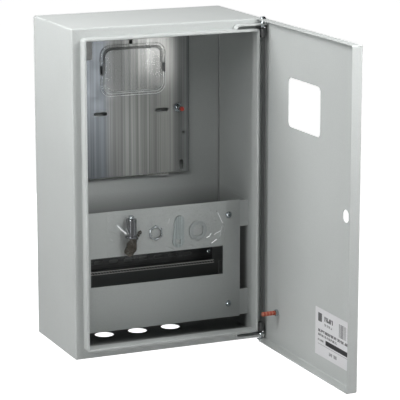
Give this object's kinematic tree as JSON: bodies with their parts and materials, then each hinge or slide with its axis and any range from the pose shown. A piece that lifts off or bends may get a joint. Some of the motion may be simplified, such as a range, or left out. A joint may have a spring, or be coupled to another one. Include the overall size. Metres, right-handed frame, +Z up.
{
  "type": "breaker panel box",
  "caption": "Wall-hung sheet steel meter and breaker box with a windowed hinged door, slotted breaker cover, mounting rail and meter plate.",
  "frame": {"origin": "centre of the back plate's outer face, which lies on the wall", "axes": "+Z up, +Y into the wall, so the box opens towards -Y and the door's hinges are on the +X side"},
  "size_m": [0.3122, 0.476, 0.5038],
  "materials": {
    "grey_paint": "fine-texture light grey powder coat, satin",
    "panel_paint": "smooth mid-grey powder coat, satin",
    "galvanised_steel": "galvanised sheet with soft vertical streaks",
    "bare_steel": "plain pressed steel, satin",
    "zinc_plate": "bright zinc plate",
    "chrome": "polished",
    "key_metal": "dull nickel-plated",
    "clear_plastic": "clear moulded plastic, glossy",
    "clear_film": "thin clear polythene film",
    "tape": "clear adhesive tape",
    "paper": "matt printed paper, no legible print",
    "red_plastic": "soft plastic, satin",
    "grey_plastic": "matt plastic"
  },
  "bodies": {
    "case": {"case_shell": "grey_paint", "case_rim": "grey_paint", "back_plate": "grey_paint", "hinge_bracket_upper": "grey_paint", "hinge_bracket_lower": "grey_paint", "hinge_screw_upper": "zinc_plate", "hinge_screw_lower": "zinc_plate", "hinge_nut_upper": "zinc_plate", "hinge_spacer_upper": "zinc_plate", "hinge_spacer_lower": "zinc_plate", "side_bracket_left": "grey_paint", "side_bracket_right": "grey_paint", "din_rail": "zinc_plate", "rail_screw_left": "zinc_plate", "rail_screw_right": "zinc_plate", "rail_nut_left": "zinc_plate", "rail_nut_right": "zinc_plate", "front_panel": "panel_paint", "panel_screw_upper_left": "zinc_plate", "panel_screw_upper_right": "zinc_plate", "panel_screw_lower_left": "zinc_plate", "panel_screw_lower_right": "zinc_plate", "panel_washer_upper_left": "zinc_plate", "panel_washer_upper_right": "zinc_plate", "panel_washer_lower_left": "zinc_plate", "panel_washer_lower_right": "zinc_plate", "meter_plate": "galvanised_steel", "earth_stud": "zinc_plate", "earth_star_washer": "zinc_plate", "earth_nut": "zinc_plate", "earth_stud_cap": "red_plastic", "window_insert": "clear_plastic", "tape_strip": "tape", "instruction_sheet": "paper", "lock_housing": "chrome", "spare_key": "key_metal", "lock_nut": "zinc_plate", "lock_cam": "bare_steel", "lock_seal": "grey_plastic", "kit_bag": "clear_film"},
    "door": {"door_skin": "grey_paint", "door_edge": "grey_paint", "door_earth_stud": "zinc_plate", "door_earth_nut": "zinc_plate", "door_stud_cap": "red_plastic", "door_label": "paper"},
    "lock_key": {"lock_plug": "zinc_plate", "key_in_lock": "key_metal"}
  },
  "joints": [
    {"name": "door_hinge", "type": "hinge", "parent": "case", "child": "door", "pos_m": [0.148, -0.174, 0], "axis": [0, 0, 1], "range_deg": [-90, 17]},
    {"name": "key_turn", "type": "hinge", "parent": "case", "child": "lock_key", "pos_m": [-0.0475, -0.126, -0.08], "axis": [0, 0, 1], "range_deg": [0, 90]}
  ]
}
